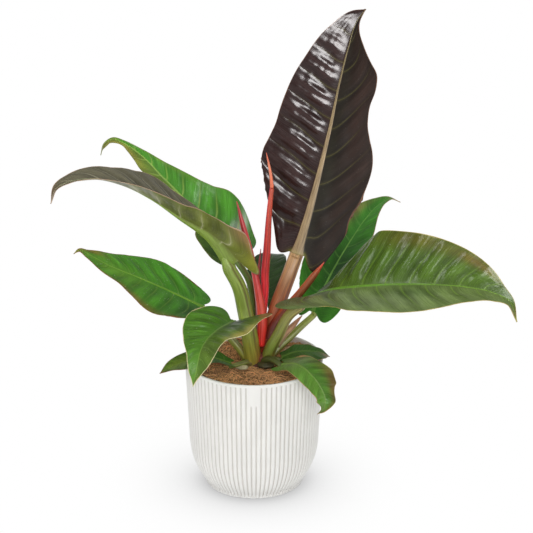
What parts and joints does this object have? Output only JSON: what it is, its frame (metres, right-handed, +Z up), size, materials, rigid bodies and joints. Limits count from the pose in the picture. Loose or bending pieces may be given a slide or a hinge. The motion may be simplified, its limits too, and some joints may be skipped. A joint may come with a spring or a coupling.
{
  "type": "potted philodendron",
  "caption": "Leafy foliage plant with broad pointed glossy leaves on long stalks and red sheaths, in a round fluted pot filled with coir.",
  "frame": {"origin": "centre of the pot's flat underside", "axes": "+Z up, -Y toward the plant's front as pictured, +X to the right in the picture"},
  "size_m": [0.4549, 0.2479, 0.4865],
  "materials": {
    "pot_white": "satin",
    "coir_brown": "rough, fibrous",
    "stalk_green": "satin",
    "sheath_red": "satin",
    "sheath_brown": "satin",
    "sheath_dry": "matt, papery",
    "new_leaf_orange": "satin",
    "blade_dark": "glossy",
    "blade_green": "glossy",
    "blade_olive": "glossy"
  },
  "bodies": {
    "root": {"pot": "pot_white", "coir": "coir_brown", "stem_and_stalks": "stalk_green", "sheath_left": "sheath_red", "sheath_centre": "sheath_red", "sheath_small": "sheath_red", "sheath_right": "sheath_brown", "sheath_dry": "sheath_dry", "new_leaf_roll": "new_leaf_orange", "leaf_top_dark": "blade_dark", "leaf_right": "blade_olive", "leaf_back_right": "blade_green", "leaf_upper_left": "blade_green", "leaf_mid_left": "blade_dark", "leaf_lower_left": "blade_green", "leaf_front_left": "blade_green", "leaf_low_left": "blade_green", "leaf_front_right": "blade_green", "leaf_low_right": "blade_green", "leaf_back": "blade_green"}
  },
  "joints": []
}
